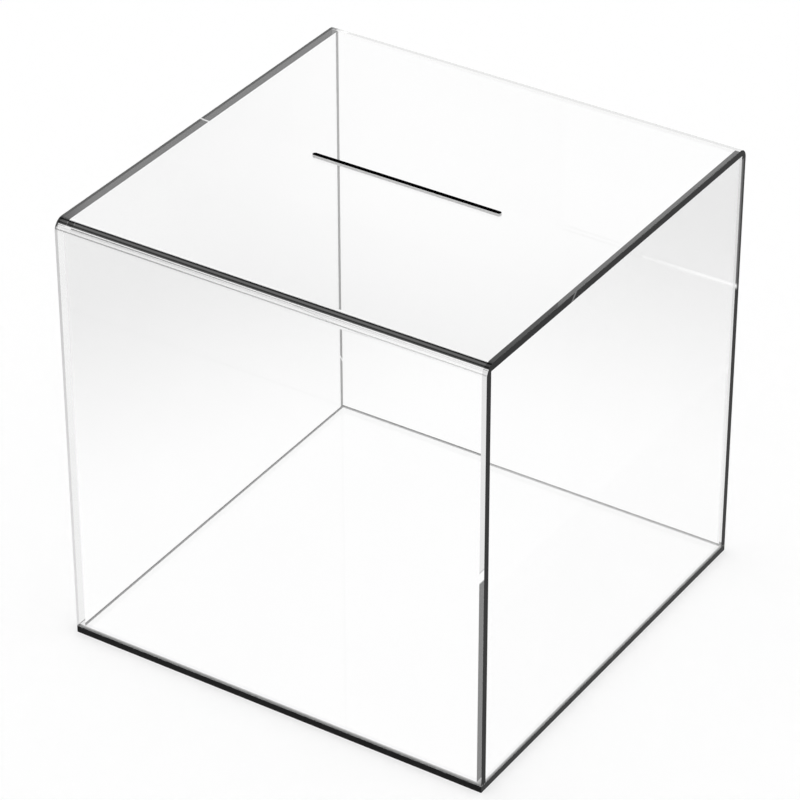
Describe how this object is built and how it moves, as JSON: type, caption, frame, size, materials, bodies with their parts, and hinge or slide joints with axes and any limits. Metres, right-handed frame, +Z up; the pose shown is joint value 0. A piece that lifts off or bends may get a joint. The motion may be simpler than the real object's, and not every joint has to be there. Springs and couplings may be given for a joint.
{
  "type": "donation box",
  "caption": "Clear cube-shaped donation box with a long money slot in its top; the slotted cover lifts off a flat base panel.",
  "frame": {"origin": "underside of the base panel, under the middle of the box", "axes": "+Z up out of the slotted top, -Y towards the front face, +X to the right along the slot"},
  "size_m": [0.38, 0.38, 0.38],
  "materials": {
    "clear_sheet": "clear polished acrylic sheet, heat-bent",
    "clear_panel": "clear polished acrylic sheet",
    "clear_base": "clear polished acrylic sheet"
  },
  "bodies": {
    "base": {"base_panel": "clear_base"},
    "cover": {"cover_sheet": "clear_sheet", "left_panel": "clear_panel", "right_panel": "clear_panel"}
  },
  "joints": [
    {"name": "cover_lift", "type": "slide", "parent": "base", "child": "cover", "axis": [0, 0, 1], "range_m": [0, 0.06]}
  ]
}
